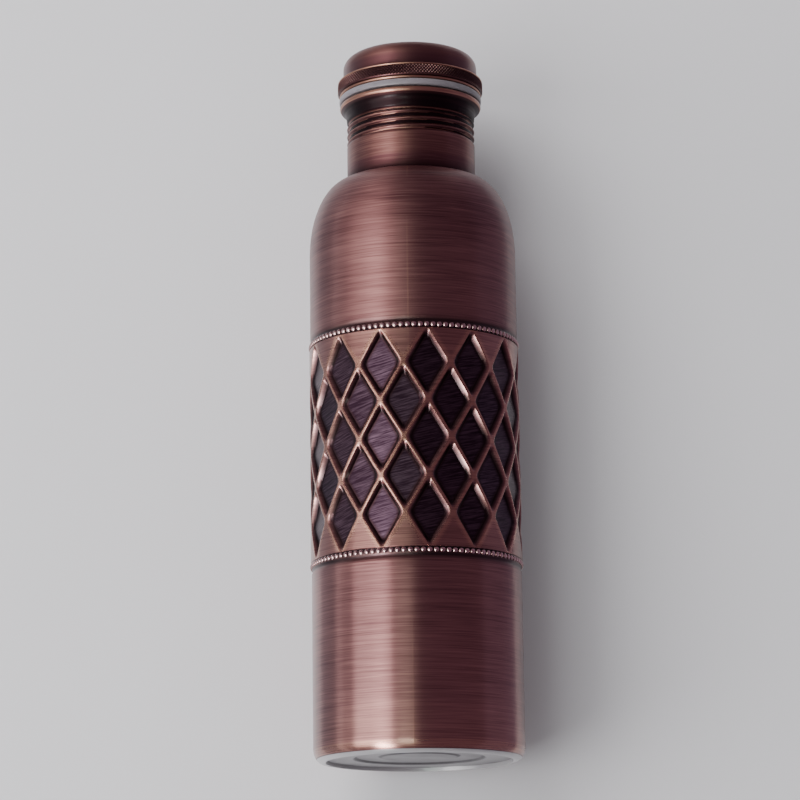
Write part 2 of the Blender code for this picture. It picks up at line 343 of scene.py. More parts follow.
# %% Rings of the body
FOOT_ROLL = 3.0 * MM
FOOT_RISE = 5.0 * MM
FOOT_LIP = 2.2 * MM
BARE_HEIGHT = 1.0 * MM
LAND_OUTER = BODY_RADIUS - FOOT_ROLL
LAND_INNER = LAND_OUTER - 1.2 * MM
BEAD_LOW = BAND_CENTRE - BAND_HALF
BEAD_HIGH = BAND_CENTRE + BAND_HALF
BEAD_GROOVE = (
    (0.9, 0.00, -0.65), (1.3, -0.28, -0.85), (1.8, -0.34, -0.80), (2.2, -0.18, -0.55),
    (2.7, -0.02, -0.30), (3.4, 0.0, -0.12), (5.0, 0.0, -0.03),
)


def shoulder(offset, steps):
    """Rings over the rounded shoulder, up to the neck hole, moved in by an offset."""
    hole = NECK_RADIUS + GAP
    points = []
    for i in range(1, steps + 1):
        angle = pi / 2 * i / steps
        radius = hole + (BODY_RADIUS - offset - hole) * cos(angle)
        points.append((radius, SHOULDER_START + (SHOULDER_RISE - offset) * sin(angle), 0.0))
    return points


def bead_seat(height, way):
    """Rings from a bead line outwards, across the dark groove beyond it."""
    return [
        (BODY_RADIUS + out * MM, height + way * rise * MM, tone)
        for rise, out, tone in BEAD_GROOVE
    ]


def foot_round(start, end, steps, tone):
    """Rings round the foot, between two angles of its ellipse in degrees."""
    points = []
    for radius, height, shade in arc((0.0, 0.0), 1.0, start, end, steps, tone):
        points.append((LAND_OUTER + FOOT_ROLL * radius, FOOT_RISE * (1 + height), shade))
    return points


inside = BODY_RADIUS - WALL
behind_band = BAND_RADIUS - DIAMOND_DEPTH - WALL
upward = bead_seat(BEAD_HIGH, 1) + [(BODY_RADIUS, SHOULDER_START, 0.0)] + shoulder(0.0, 28)
downward = bead_seat(BEAD_LOW, -1) + [(BODY_RADIUS, 20 * MM, 0.0)]
downward += foot_round(0, -8, 2, 0.1) + foot_round(-13, -46, 8, 0.35)
downward += foot_round(-51, -54, 1, -0.6) + foot_round(-56, -90, 5, 0.0)
downward += [(LAND_INNER, 0.0, 0.0), (LAND_INNER, FOOT_LIP, 0.0)]
downward += [(LAND_INNER + WALL, FOOT_LIP, 0.0), (LAND_INNER + WALL, WALL, 0.0)]
downward += arc((LAND_OUTER, FOOT_ROLL), FOOT_ROLL - WALL, -90, 0, 5)
downward += [(inside, BEAD_LOW - 4 * MM, 0.0), (behind_band, BEAD_LOW, 0.0)]
downward += [(behind_band, BEAD_HIGH, 0.0), (inside, BEAD_HIGH + 4 * MM, 0.0)]
downward += [(inside, SHOULDER_START, 0.0)] + shoulder(WALL, 14)
print(len(upward), "rings up,", len(downward), "rings down and back inside")

# %% [markdown]
# ## Growing the body out of the band
# Instead of joining a second mesh on, the band's two open edges are extruded, ring after ring,
# and each new ring is drawn to its own radius and height. Upwards they pass the bead line and go
# over the shoulder to the neck hole. Downwards they go round the rolled foot, and then back up
# inside as the inner face of the sheet. The two ends meet at the neck hole and are bridged, so
# the sheet is one closed body. The underside of the foot is bare metal, which the mesh also marks.

# %% Body shell
def grow(form, rim, rings):
    """Extrudes a closed rim of edges through rings of (radius, height, tone)."""
    tone = form.verts.layers.float["tone"]
    bare = form.verts.layers.float["bare"]
    for radius, height, shade in rings:
        made = bmesh.ops.extrude_edge_only(form, edges=rim)["geom"]
        rim = [item for item in made if isinstance(item, bmesh.types.BMEdge) and item.is_boundary]
        lip = radius < LAND_OUTER - 0.5 * MM and height <= FOOT_LIP
        for vertex in {corner for edge in rim for corner in edge.verts}:
            flat = vertex.co.xy.normalized() * radius
            vertex.co = (flat.x, flat.y, height)
            vertex[tone] = shade
            vertex[bare] = 1.0 if height < BARE_HEIGHT or lip else 0.0
    return rim


top = grow(body_form, rim_at(body_form, BEAD_HIGH), upward)
bottom = grow(body_form, rim_at(body_form, BEAD_LOW), downward)
bmesh.ops.bridge_loops(body_form, edges=top + bottom)
body_shell = finish_piece(body_form, "bottle_body", "bottle", "body_shell")

# %% [markdown]
# ## Rings of beads
# A small wheel rolls a row of beads along each edge of the band. Every bead is a low round pip,
# wider than it is tall. One pip is made from a small sphere, flattened, and copied round. There
# are about a hundred in a ring, so each has only a few dozen faces.

# %% Bead rings
BEADS_AROUND = 104
BEAD_WIDE = 1.0 * MM
BEAD_TALL = 0.92 * MM
BEAD_OUT = 0.62 * MM


def bead_ring(name, height):
    """A ring of pips whose middles lie just inside the wall."""
    form = bmesh.new()
    tone = form.verts.layers.float.new("tone")
    for i in range(BEADS_AROUND):
        pip = bmesh.ops.create_uvsphere(form, u_segments=10, v_segments=7, radius=1.0)["verts"]
        for vertex in pip:
            vertex[tone] = min(0.9, 3.4 * vertex.co.x - 0.9)
        bmesh.ops.scale(form, verts=pip, vec=(BEAD_OUT, BEAD_WIDE, BEAD_TALL))
        bmesh.ops.translate(form, verts=pip, vec=(BODY_RADIUS, 0, height))
        turn = Quaternion((0, 0, 1), 2 * pi * i / BEADS_AROUND).to_matrix()
        bmesh.ops.rotate(form, verts=pip, cent=(0, 0, 0), matrix=turn)
    return finish_piece(form, name, "bottle", None, sharp=180)


bead_rings = [bead_ring("beads_lower", BEAD_LOW), bead_ring("beads_upper", BEAD_HIGH)]

# %% [markdown]
# ## Base disc
# The bottom is closed by a separate disc that sits inside the turned-up lip of the foot. It is
# pressed with two shallow steps, which stiffen it. It is a turned outline with a soft rounding
# at each step, and the same outline raised by the sheet's thickness.

# %% Base disc
DISC_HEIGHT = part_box("base_disc")[0].z
DISC_RADIUS = LAND_INNER - GAP
DISC_STEPS = ((21.0 * MM, 0.8 * MM), (12.5 * MM, -0.5 * MM))


def disc_outline():
    """The disc's underside from its edge to the middle."""
    # Painted shade: the tone is darker at the disc's edge, on each step and in the middle.
    points = [(DISC_RADIUS, DISC_HEIGHT, -0.4)]
    height = DISC_HEIGHT
    for radius, rise in DISC_STEPS:
        for i in range(7):
            share = i / 6
            soft = share * share * (3 - 2 * share)
            shade_and_smudge = -0.3 * share - 0.7 * sin(pi * share)
            points.append((radius + (1 - share) * 1.8 * MM, height + rise * soft, shade_and_smudge))
        height += rise
    points.append((3 * MM, height, -0.2))
    points.append((0.0, height, -0.2))
    return points


under = disc_outline()
over = [(radius, height + WALL, 0.0) for radius, height, _ in under]
base_disc = finish_piece(turned(list(reversed(under)) + over, 96), "base_plate", "bottle",
                         "base_disc", sharp=60)

# %% [markdown]
# ## Neck and rolled thread
# The neck is a short tube. Its screw thread is rolled into the sheet between two wheels, so the
# same spiral shows as grooves outside and as ridges inside. The tube is turned with many rows,
# and then each vertex moves in by an amount that depends on its height and its angle, one pitch
# to a turn. Outside, the grooves are wide and the crests between them narrow.

# %% Neck
NECK_STEPS = 160
ROWS_PER_TURN = 12


def thread_rows(radius, start, turns, tone):
    """Outline points close enough together to carry the thread."""
    count = round(turns * ROWS_PER_TURN)
    return [(radius, start + turns * PITCH * i / count, tone) for i in range(count + 1)]


def press_thread(form, move, start, turns, inner, outer, wide=1.0, bright=0.0, dull=0.0, dark_top=0.0):
    """Moves a sheet between two radii along the right-handed screw thread."""
    tone = form.verts.layers.float["tone"]
    end = start + turns * PITCH
    phase = pi if move < 0 else 0.0
    for vertex in form.verts:
        radius = hypot(vertex.co.x, vertex.co.y)
        if not inner < radius < outer or not start < vertex.co.z < end:
            continue
        fade = min(1.0, min(vertex.co.z - start, end - vertex.co.z) / (PITCH / 2))
        climb = 2 * pi * (vertex.co.z - THREAD_START) / PITCH
        wave = 0.5 + 0.5 * cos(climb - atan2(vertex.co.y, vertex.co.x) + phase)
        share = 1 - (1 - wave) ** wide
        vertex.co.xy *= 1 + move * fade * share / radius
        if vertex.co.z < THREAD_START + PITCH:
            share *= fade
        vertex[tone] = bright + (dull - bright) * share
        if vertex.co.z > FLARE_START - dark_top:
            vertex[tone] = dull


rim_centre = (RIM_RADIUS - RIM_ROLL, MOUTH_HEIGHT - RIM_ROLL)
flare = 0.72 * MM
# Painted dark reflection: the neck is darker towards its foot, where it mirrors the dark shoulder.
outline = [(NECK_RADIUS, NECK_FOOT, -0.5), (NECK_RADIUS, SHOULDER_TOP - WALL, -0.8)]
outline += [(NECK_RADIUS, SHOULDER_TOP + 0.8 * MM, -0.7), (NECK_RADIUS, SHOULDER_TOP + 3 * MM, -0.2)]
outline += [(NECK_RADIUS, SHOULDER_TOP + 6 * MM, 0.12), (NECK_RADIUS, THREAD_START - 0.5 * MM, 0.15)]
outline += thread_rows(NECK_RADIUS, THREAD_START, THREAD_TURNS, 0.2)[:-1]
outline += [(NECK_RADIUS, FLARE_START, -1.3)]
outline += [(NECK_RADIUS + 0.25 * flare, FLARE_START + 1.3 * MM, -0.9)]
outline += [(NECK_RADIUS + 0.65 * flare, FLARE_START + 2.3 * MM, -0.9)]
outline += [(NECK_RADIUS + 1.25 * flare, FLARE_START + 3.1 * MM, -0.95)]
outline += arc(rim_centre, RIM_ROLL, -75, -60, 1, -0.6)
outline += arc(rim_centre, RIM_ROLL, -45, 200, 16, 0.65)
inner_neck = NECK_RADIUS - WALL
outline += [(inner_neck + flare, FLARE_START + 3.1 * MM, 0.3)]
outline += list(reversed(thread_rows(inner_neck, THREAD_START, THREAD_TURNS, 0.2)))
outline += [(inner_neck, NECK_FOOT, 0.0)]
neck_form = turned(outline, NECK_STEPS)
press_thread(neck_form, -THREAD_DEPTH, THREAD_START, THREAD_TURNS,
             NECK_RADIUS - WALL / 2, NECK_RADIUS + WALL / 2, wide=3.0, bright=0.35, dull=-1.3,
             dark_top=2.4 * MM)
press_thread(neck_form, -THREAD_DEPTH, THREAD_START, THREAD_TURNS,
             inner_neck - WALL / 4, inner_neck + WALL / 4, bright=0.2, dull=0.4)
neck_sleeve = finish_piece(neck_form, "neck", "bottle", "neck_sleeve", sharp=60)

# %% [markdown]
# ## Gasket
# A flat ring of white silicone seals the lid on the rim. It is squeezed a little, so its outer
# edge bulges. The outline is a rectangle with a rounded, slightly bowed outer side.

# %% Gasket
SEAL_LOW, SEAL_HIGH = (corner.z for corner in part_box("gasket"))
SEAL_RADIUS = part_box("gasket")[1].x
seal_inner = STEM_ROOT + THREAD_DEPTH / 2 + GAP
seal_middle = (SEAL_LOW + SEAL_HIGH) / 2
edge_round = 0.55 * MM
edge_bulge = 0.05 * MM
edge_centre = SEAL_RADIUS - edge_round - edge_bulge
outline = [(seal_inner, SEAL_LOW, 0.0)]
outline += arc((edge_centre, SEAL_LOW + edge_round), edge_round, -90, -10, 5)
outline += [(SEAL_RADIUS, seal_middle, 0.0)]
outline += arc((edge_centre, SEAL_HIGH - edge_round), edge_round, 10, 90, 5)
outline += [(seal_inner, SEAL_HIGH, 0.0)]
gasket = finish_piece(turned(outline, NECK_STEPS), "silicone_ring", "seal", "gasket", sharp=50)

# %% [markdown]
# ## Threaded stem
# Under the lid hangs a short tube whose raised thread runs in the neck's. Its top turns out into
# a thin flange, which presses on the gasket and shows as a bright copper lip. The thread uses
# the same phase as the neck's, and it is raised where the neck's is sunk, so the two mesh.

# %% Stem
STEM_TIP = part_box("lid_stem")[0].z
FLANGE_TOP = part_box("lid_stem")[1].z
FLANGE_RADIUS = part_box("lid_stem")[1].x
FLANGE_LOW = FLANGE_TOP - 0.8 * MM
stem_bore = STEM_ROOT - WALL
stem_start = STEM_TIP + PITCH / 4
stem_turns = (FLARE_START - stem_start) / PITCH
lip = 0.38 * MM
chamfer = 0.1 * MM
outline = [(stem_bore, STEM_TIP, 0.3), (STEM_ROOT - chamfer, STEM_TIP, 0.5)]
outline += [(STEM_ROOT, STEM_TIP + chamfer, 0.5)]
outline += thread_rows(STEM_ROOT, stem_start, stem_turns, 0.3)
outline += [(STEM_ROOT, FLANGE_LOW - 0.4 * MM, 0.1), (STEM_ROOT + 0.4 * MM, FLANGE_LOW, 0.1)]
outline += arc((FLANGE_RADIUS - lip, FLANGE_LOW + lip), lip, -90, 0, 5, 0.9)
outline += arc((FLANGE_RADIUS - lip, FLANGE_TOP - lip), lip, 0, 90, 5, 0.9)
outline += [(stem_bore, FLANGE_TOP, 0.1)]
stem_form = turned(outline, NECK_STEPS)
press_thread(stem_form, THREAD_DEPTH, stem_start, stem_turns,
             stem_bore + WALL / 2, STEM_ROOT + THREAD_DEPTH, bright=-0.2, dull=0.8)
lid_stem = finish_piece(stem_form, "threaded_stem", "lid", "lid_stem", sharp=60)

# %% [markdown]
# ## Knurled grip ring
# Fingers need a hold on the lid, so its ring is knurled: two wheels press fine slanting grooves
# that cross and leave rows of tiny pyramids. Two triangle waves, one leaning each way, give the
# height of the pyramids at any angle and height, and the lower of the two is taken. The ring is
# turned with four columns to a tooth, so each pyramid keeps its point.

# %% Grip ring
GRIP_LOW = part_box("grip_ring")[0].z
GRIP_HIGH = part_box("grip_ring")[1].z
GRIP_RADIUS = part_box("grip_ring")[1].x
KNURL_TEETH = 144
KNURL_DEPTH = 0.42 * MM
KNURL_RISE = 1.2 * MM
KNURL_ROWS = 16
COLUMNS_PER_TOOTH = 4
PEAK_RUB = 2.5
VALLEY_TONE = -1.65
KNURL_LOW = GRIP_LOW + 0.35 * MM
KNURL_HIGH = GRIP_HIGH - 0.85 * MM
GRIP_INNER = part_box("lid_dome")[1].x + GAP


def triangle(value):
    """A triangle wave: 0 at whole numbers, 1 halfway between them."""
    return 1 - abs(2 * (value % 1.0) - 1)


ridge = 0.28 * MM
outline = [(GRIP_INNER, GRIP_LOW, -0.5), (GRIP_RADIUS - 0.55 * MM, GRIP_LOW, -0.3)]
outline += [(GRIP_RADIUS - KNURL_DEPTH, KNURL_LOW - 0.1 * MM, -0.4)]
outline += [
    (GRIP_RADIUS, KNURL_LOW + (KNURL_HIGH - KNURL_LOW) * i / KNURL_ROWS, -0.2)
    for i in range(KNURL_ROWS + 1)
]
outline += [(GRIP_RADIUS - KNURL_DEPTH, KNURL_HIGH + 0.1 * MM, -0.8)]
outline += [(GRIP_RADIUS - 0.5 * MM, KNURL_HIGH + 0.25 * MM, -0.9)]
outline += arc((GRIP_RADIUS - 0.15 * MM - ridge, GRIP_HIGH - ridge), ridge, -60, 90, 6, 0.95)
outline += [(GRIP_INNER, GRIP_HIGH, -0.8)]
grip_form = turned(outline, KNURL_TEETH * COLUMNS_PER_TOOTH)
grip_tone = grip_form.verts.layers.float["tone"]
for vertex in grip_form.verts:
    radius = hypot(vertex.co.x, vertex.co.y)
    on_band = KNURL_LOW - 1e-6 < vertex.co.z < KNURL_HIGH + 1e-6
    if radius < GRIP_RADIUS - 0.02 * MM or not on_band:
        continue
    turn = KNURL_TEETH * atan2(vertex.co.y, vertex.co.x) / (2 * pi)
    climb = (vertex.co.z - KNURL_LOW) / KNURL_RISE
    peak = min(triangle(turn + climb), triangle(turn - climb))
    vertex.co.xy *= 1 - KNURL_DEPTH * (1 - peak) / radius
    vertex[grip_tone] = PEAK_RUB * peak + VALLEY_TONE
grip_ring = finish_piece(grip_form, "knurled_ring", "lid", "grip_ring", sharp=25)

# %% [markdown]
# ## Lid
# The lid's cap is drawn from a disc of sheet: a short wall, a generous round, and a top that is
# crowned just enough not to look hollow. The outline goes out over the top and back along the
# inner face, and its two ends lie on the axis, so spinning it closes both faces at the pole.

# %% Lid dome
LID_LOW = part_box("lid_dome")[0].z
LID_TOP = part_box("lid_dome")[1].z
LID_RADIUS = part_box("lid_dome")[1].x
LID_ROUND = 4.4 * MM
LID_CROWN = 1.4 * MM
corner = (LID_RADIUS - LID_ROUND, LID_TOP - LID_CROWN - LID_ROUND)


def crown(height, steps):
    """Rings over the crowned top, from the round's edge to the axis."""
    edge = arc(corner, LID_ROUND, 78, 78, 1)[0]
    points = []
    for i in range(1, steps + 1):
        share = i / steps
        radius = edge[0] * (1 - share)
        rise = (LID_TOP - edge[1]) * (1 - (1 - share) ** 2)
        points.append((radius, edge[1] + rise - height, 0.05))
    return points


outer_side = [(LID_RADIUS - 0.1 * MM, LID_LOW, -0.6), (LID_RADIUS, LID_LOW + 0.1 * MM, -0.6)]
outer_side += [(LID_RADIUS, GRIP_HIGH - 0.2 * MM, -0.9), (LID_RADIUS, GRIP_HIGH + 0.9 * MM, -0.25)]
outer_side += arc(corner, LID_ROUND, 0, 78, 16, 0.12) + crown(0.0, 10)
inner_side = [(LID_RADIUS - WALL, LID_LOW, 0.0)]
inner_side += arc(corner, LID_ROUND - WALL, 0, 78, 8) + crown(WALL, 6)
dome_form = turned(list(reversed(inner_side)) + outer_side, 128)
lid_dome = finish_piece(dome_form, "lid_cap", "lid", "lid_dome", sharp=50)

# %% [markdown]
# ## A small language for materials
# A node tree is easier to read as sums than as wires. A Wire wraps one socket, and Python's
# operators on it add Math nodes. A Recipe holds one tree, a material's or the world's, and has a
# single method that adds any other node: its type, its settings, and then the values or wires of
# its sockets. The rest of its methods are short names for the nodes that are used most.

# %% Wires and recipes
class Wire:
    """One output socket of a node, which can be used in sums."""

    def __init__(self, recipe, socket):
        self.recipe = recipe
        self.socket = socket

    def maths(self, operation, first, second):
        """Adds one Math node for two values or wires."""
        return self.recipe.add("ShaderNodeMath", {"operation": operation}, {0: first, 1: second})

    def __add__(self, other):
        return self.maths("ADD", self, other)

    def __radd__(self, other):
        return self.maths("ADD", other, self)

    def __sub__(self, other):
        return self.maths("SUBTRACT", self, other)

    def __rsub__(self, other):
        return self.maths("SUBTRACT", other, self)

    def __mul__(self, other):
        return self.maths("MULTIPLY", self, other)

    def __rmul__(self, other):
        return self.maths("MULTIPLY", other, self)

    def at_least(self, other):
        """The larger of this and another value."""
        return self.maths("MAXIMUM", self, other)

    def at_most(self, other):
        """The smaller of this and another value."""
        return self.maths("MINIMUM", self, other)


class Recipe:
    """The nodes of a material, or of the world, and a short way to add more."""

    def __init__(self, owner, shader="Principled BSDF"):
        owner.use_nodes = True
        self.owner = owner
        self.tree = owner.node_tree
        self.shader = self.tree.nodes[shader]

    def add(self, kind, settings=None, inputs=None, output=0):
        """Adds a node, sets it up, joins its inputs, and returns one output as a Wire."""
        node = self.tree.nodes.new(kind)
        for name, value in (settings or {}).items():
            setattr(node, name, value)
        self.join(node, inputs or {})
        return Wire(self, node.outputs[output])

    def join(self, node, inputs):
        """Gives each named socket of a node its value or its wire."""
        for name, value in inputs.items():
            socket = node.inputs[name]
            if isinstance(value, Wire):
                self.tree.links.new(value.socket, socket)
            else:
                socket.default_value = value

    def attribute(self, name):
        """A number that the mesh carries at its vertices."""
        return self.add("ShaderNodeAttribute", {"attribute_name": name}, output="Fac")

    def noise(self, place, scale, detail=3.0, rough=0.55):
        """Noise from 0 to 1 at a place that is stretched by three scales."""
        spot = self.add("ShaderNodeVectorMath", {"operation": "MULTIPLY"}, {0: place, 1: scale})
        return self.add("ShaderNodeTexNoise", {}, {
            "Vector": spot, "Scale": 1.0, "Detail": detail, "Roughness": rough,
        }, output="Fac")

    def spread(self, value, low, high):
        """Stretches a value so that low becomes 0 and high becomes 1, and holds it there."""
        return self.add("ShaderNodeMapRange", {"clamp": True}, {
            "Value": value, "From Min": low, "From Max": high,
        })

    def blend(self, share, first, second):
        """A colour between two colours."""
        return self.add("ShaderNodeMix", {"data_type": "RGBA"}, {0: share, 6: first, 7: second}, output=2)

    def bump(self, height, distance, strength):
        """A Bump node: its height stands this far out, in metres, where it is 1."""
        inputs = {"Height": height, "Distance": distance, "Strength": strength}
        return self.add("ShaderNodeBump", {}, inputs)


def rgb(red, green, blue):
    """A linear colour with full alpha."""
    return (red, green, blue, 1.0)


# %% [markdown]
# ## Marks in the copper
# Two marks belong to the body alone. Where the sheet was joined into a tube, a faint upright line
# shows: it is the thin strip on one side of the axis whose distance from a plane through the axis
# is almost nothing, and it comes and goes with a cloudy noise. The floors of the diamonds are
# purple, and the roller left short strokes on them, which climb a little as they go round.

# %% Seam and diamond floors
FLOOR_DARK = rgb(0.026, 0.012, 0.021)
FLOOR_LIGHT = rgb(0.108, 0.067, 0.090)
STROKE_LEAN = -0.22
SEAM_TURN = radians(-93.0)
SEAM_INNER = 0.10 * MM
SEAM_OUTER = 0.45 * MM


def seam_line(recipe, place, cloud):
    """1 along the faint line where the sheet was joined, and 0 elsewhere."""
    side = recipe.add("ShaderNodeVectorMath", {"operation": "DOT_PRODUCT"},
                      {0: place, 1: (-sin(SEAM_TURN), cos(SEAM_TURN), 0.0)}, output="Value")
    ahead = recipe.add("ShaderNodeVectorMath", {"operation": "DOT_PRODUCT"},
                       {0: place, 1: (cos(SEAM_TURN), sin(SEAM_TURN), 0.0)}, output="Value")
    away = side.maths("ABSOLUTE", side, 0.0)
    line = (1.0 - recipe.spread(away, SEAM_INNER, SEAM_OUTER)) * recipe.spread(ahead, 0.0, MM)
    return line * recipe.spread(cloud, 0.44, 0.62)


def diamond_floor(recipe, place):
    """The colour of the diamonds' floors, and the noise of their leaning strokes."""
    lean = recipe.add("ShaderNodeCombineXYZ", {}, {"Z": recipe.attribute("across") * STROKE_LEAN})
    slanted = recipe.add("ShaderNodeVectorMath", {"operation": "ADD"}, {0: place, 1: lean})
    scratch = recipe.noise(slanted, (120.0, 120.0, 2000.0), detail=3.0, rough=0.65)
    marks = recipe.spread(scratch, 0.40, 0.70)
    return recipe.blend(marks, FLOOR_DARK, FLOOR_LIGHT), scratch


print("seam at", round(SEAM_TURN * 180 / pi), "degrees,", round(2 * SEAM_OUTER / MM, 1), "mm wide")

# %% [markdown]
# ## Aged copper
# The finish is antique copper: the sheet is darkened, and then brushed round the axis so that
# fine bright strokes cut through the patina. Raised places are rubbed back to warm copper, and
# corners keep black oxide. Last comes a thin clear lacquer.
# The strokes are noise that is stretched thin: it changes quickly up the bottle and slowly
# across it. The mesh's own tone decides between patina, rubbed copper and oxide; at the neck's
# foot the same dark colour is a painted dark reflection. Its sink marks the floors of the
# diamonds, and its bare mark the underside of the foot, which is pale metal.
# The shoulder was brushed more heavily, so it is rougher there, and its patina is painted a little
# darker as painted shade, which dims its highlight. The shader is anisotropic, because
# strokes round the axis draw each highlight out along it.

# %% Aged copper
DARK_OXIDE_AND_REFLECTION = rgb(0.016, 0.006, 0.008)
PATINA_DARK = rgb(0.130, 0.052, 0.054)
PATINA_LIGHT = rgb(0.360, 0.180, 0.160)
RUBBED = rgb(0.520, 0.280, 0.190)
BEAD_RUBBED = rgb(0.600, 0.420, 0.400)
BARE_PALE = rgb(0.500, 0.490, 0.500)
BARE_DIM = rgb(0.380, 0.370, 0.380)
ROUGH_AND_SHADE_FROM = 140 * MM
ROUGH_AND_SHADE_FULL = 150 * MM
BASE_ROUGH = 0.29
STROKE_HEIGHT = 0.06 * MM


def copper(name, lift=0.0, coat=0.32, embossed=False, bright=RUBBED):
    """Brushed antique copper. Lift moves the whole patina lighter or darker."""
    recipe = Recipe(bpy.data.materials.new(name))
    place = recipe.add("ShaderNodeTexCoord", output="Object")
    tone = recipe.attribute("tone")
    up = recipe.add("ShaderNodeSeparateXYZ", {}, {"Vector": place}, output="Z")
    rough_and_shaded_top = recipe.spread(up, ROUGH_AND_SHADE_FROM, ROUGH_AND_SHADE_FULL)

    cloud = recipe.noise(place, (22.0, 22.0, 22.0), detail=2.0)
    coarse = recipe.noise(place, (22.0, 22.0, 420.0), detail=4.0, rough=0.65)
    fine = recipe.noise(place, (50.0, 50.0, 2500.0), detail=2.0, rough=0.6)
    stroke = recipe.spread(fine, 0.38, 0.62)

    mottle = 0.38 * cloud + 0.20 * coarse + 0.42 * fine
    # Painted shade: the patina is a little darker towards the top, which dims the highlight there.
    patina = recipe.spread(mottle + lift - 0.04 * rough_and_shaded_top, 0.345, 0.655)
    colour = recipe.blend(patina, PATINA_DARK, PATINA_LIGHT)
    rubbed = (tone * 1.25).at_least(0.0).at_most(1.0) * (0.55 + 0.45 * stroke)
    colour = recipe.blend(rubbed, colour, bright)
    # A low tone gives dark oxide in corners, and at the neck's foot a painted dark reflection.
    oxide_and_dark_reflection = recipe.spread((-1.0) * tone + 0.35 * (coarse - 0.5), 0.05, 0.95)

    rough = BASE_ROUGH + 0.05 * stroke + 0.12 * oxide_and_dark_reflection + 0.15 * rough_and_shaded_top - 0.12 * rubbed
    height = 0.75 * fine + 0.25 * coarse
    if embossed:
        seam = seam_line(recipe, place, cloud)
        sink = recipe.attribute("sink")
        floor_colour, scratch = diamond_floor(recipe, place)
        colour = recipe.blend(0.30 * seam, colour, RUBBED)
        colour = recipe.blend(sink, colour, floor_colour)
        rough = rough + 0.06 * sink
        height = height + 0.4 * seam + sink * (scratch - fine)
    colour = recipe.blend(oxide_and_dark_reflection, colour, DARK_OXIDE_AND_REFLECTION)
    metal = 1.0
    if embossed:
        bare = recipe.attribute("bare")
        metal = 1.0 - 0.7 * bare
        coat = coat * (1.0 - 0.8 * sink)
        colour = recipe.blend(bare, colour, recipe.blend(cloud, BARE_PALE, BARE_DIM))

    recipe.join(recipe.shader, {
        "Base Color": colour,
        "Metallic": metal,
        "Roughness": rough,
        "Normal": recipe.bump(height, STROKE_HEIGHT, 0.45),
        "Anisotropic": 0.8,
        "Anisotropic Rotation": 0.25,
        "Coat Weight": coat,
        "Coat Roughness": 0.25,
        "Coat IOR": 1.5,
    })
    return recipe.owner


body_copper = copper("copper_body", embossed=True)
# Painted shade: the lid and the trim get darker copies of the body's copper, which dims them.
lid_copper = copper("copper_lid", lift=-0.25)
trim_copper = copper("copper_trim", lift=-0.13, coat=0.12)
bead_copper = copper("copper_beads", coat=0.12, bright=BEAD_RUBBED)
finishes = [(body_shell, body_copper), (lid_dome, lid_copper)]
finishes += [(trim, trim_copper) for trim in (neck_sleeve, lid_stem, grip_ring)]
finishes += [(ring, bead_copper) for ring in bead_rings]
for piece, finish in finishes:
    piece.data.materials.append(finish)
print("copper on", len(finishes), "pieces")

# %% [markdown]
# ## Bare base metal
# The disc under the foot isn't coppered. It is a plain, neutral grey metal with the faint rings
# that turning leaves, some smudges, and painted shade at its steps, its edge and its middle.
# The rings are noise read by the distance from the axis.

# %% Base metal
DISC_DARK = rgb(0.20, 0.19, 0.20)
DISC_LIGHT = rgb(0.40, 0.39, 0.40)
DISC_SHADE_AND_SMUDGE = rgb(0.05, 0.045, 0.05)


def base_metal():
    """Pale turned metal with faint rings and smudges."""
    recipe = Recipe(bpy.data.materials.new("bare_base_metal"))
    place = recipe.add("ShaderNodeTexCoord", output="Object")
    flat = recipe.add("ShaderNodeVectorMath", {"operation": "MULTIPLY"}, {0: place, 1: (1.0, 1.0, 0.0)})
    reach = recipe.add("ShaderNodeVectorMath", {"operation": "LENGTH"}, {0: flat}, output="Value")
    line = recipe.add("ShaderNodeCombineXYZ", {}, {"X": reach})
    rings = recipe.noise(line, (1600.0, 1.0, 1.0), detail=3.0)
    smudge = recipe.noise(place, (90.0, 90.0, 90.0), detail=4.0)
    tone = recipe.attribute("tone")
    # Painted shade from the disc's tone at its steps, edge and middle, joined with random smudges.
    shade_and_smudge = recipe.spread((-1.0) * tone + 0.9 * (smudge - 0.45), 0.1, 0.9)
    colour = recipe.blend(0.5 * rings + 0.5 * smudge, DISC_DARK, DISC_LIGHT)
    colour = recipe.blend(shade_and_smudge, colour, DISC_SHADE_AND_SMUDGE)
    recipe.join(recipe.shader, {
        "Base Color": colour,
        "Metallic": 0.35,
        "Roughness": 0.34 + 0.18 * smudge,
        "Normal": recipe.bump(rings, 0.00004, 0.5),
    })
    return recipe.owner


base_disc.data.materials.append(base_metal())
print("base metal on", base_disc.name)

# %% [markdown]
# ## Silicone
# The gasket is milky silicone: light goes a little way in and comes out again, so its edge looks
# soft. A small subsurface share does that, with faint mottling in colour and gloss. The white
# silicone is painted a middle grey, which is painted shade: next to copper this dark a paler
# one would look lit from inside.

# %% Silicone
SILICONE_SHADED_DIM = rgb(0.145, 0.132, 0.148)
SILICONE_SHADED_PALE = rgb(0.245, 0.222, 0.240)


def silicone():
    """Milky silicone with faint mottling."""
    recipe = Recipe(bpy.data.materials.new("milky_silicone"))
    place = recipe.add("ShaderNodeTexCoord", output="Object")
    mottle = recipe.noise(place, (260.0, 260.0, 500.0), detail=3.0)
    # White silicone painted a middle grey: painted shade.
    recipe.join(recipe.shader, {
        "Base Color": recipe.blend(mottle, SILICONE_SHADED_DIM, SILICONE_SHADED_PALE),
        "Roughness": 0.30 + 0.22 * mottle,
        "Normal": recipe.bump(mottle, 0.00005, 0.4),
        "Subsurface Weight": 0.25,
        "Subsurface Radius": (0.004, 0.004, 0.004),
        "Subsurface Scale": 0.5,
    })
    return recipe.owner


gasket.data.materials.append(silicone())
print("silicone on", gasket.name)

